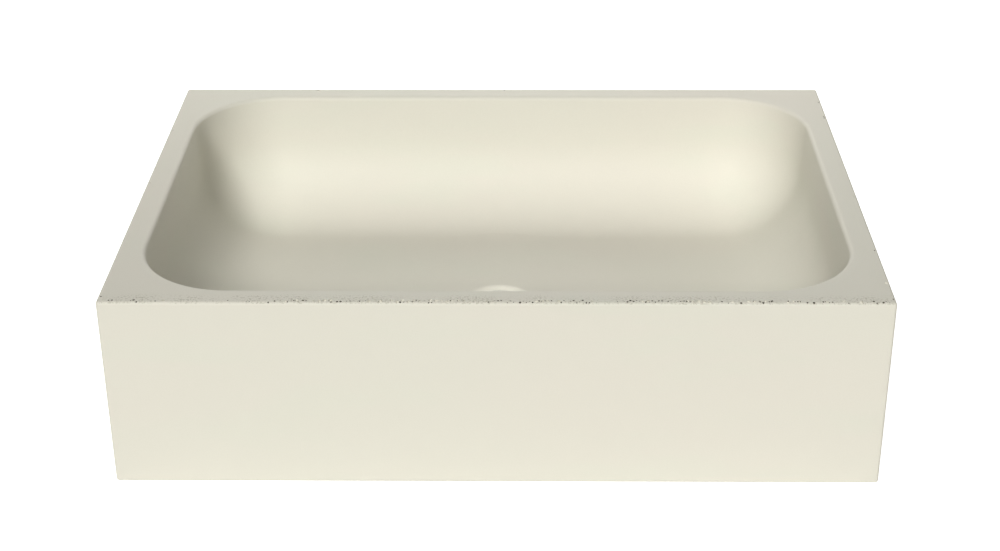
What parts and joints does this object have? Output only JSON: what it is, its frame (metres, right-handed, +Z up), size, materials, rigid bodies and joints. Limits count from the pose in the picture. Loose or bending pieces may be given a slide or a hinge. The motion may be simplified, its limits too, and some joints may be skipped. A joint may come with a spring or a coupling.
{
  "type": "countertop basin",
  "caption": "Rectangular cast concrete countertop basin with a round-cornered bowl, a flat rim and a push-button waste in its drain.",
  "frame": {"origin": "middle of the underside", "axes": "+Z up, +X to the user's right, -Y towards the user"},
  "size_m": [0.56, 0.4, 0.15],
  "materials": {
    "concrete": "matt cast concrete with a sealed face",
    "chrome": "polished plate",
    "brass": "turned",
    "steel": "turned",
    "rubber": "matt",
    "washer_plastic": "smooth",
    "barrel_plastic": "moulded"
  },
  "bodies": {
    "basin": {"basin_body": "concrete", "waste_body": "chrome", "flange_seal": "rubber", "lower_seal": "rubber", "slip_washer": "washer_plastic", "back_nut": "brass", "cartridge_barrel": "barrel_plastic", "guide_bush": "steel", "cartridge_spring": "steel"},
    "plug": {"plunger": "steel", "lock_nut": "steel", "plug_cap": "chrome", "plug_seal": "rubber"},
    "rotor": {"ratchet_rotor": "brass"}
  },
  "joints": [
    {"name": "plug_lift", "type": "slide", "parent": "basin", "child": "plug", "axis": [0, 0, 1], "range_m": [0, 0.007], "deforming": ["cartridge_spring"]},
    {"name": "rotor_turn", "type": "hinge", "parent": "plug", "child": "rotor", "pos_m": [0, 0, 0.0172], "axis": [0, 0, 1], "continuous": true}
  ]
}
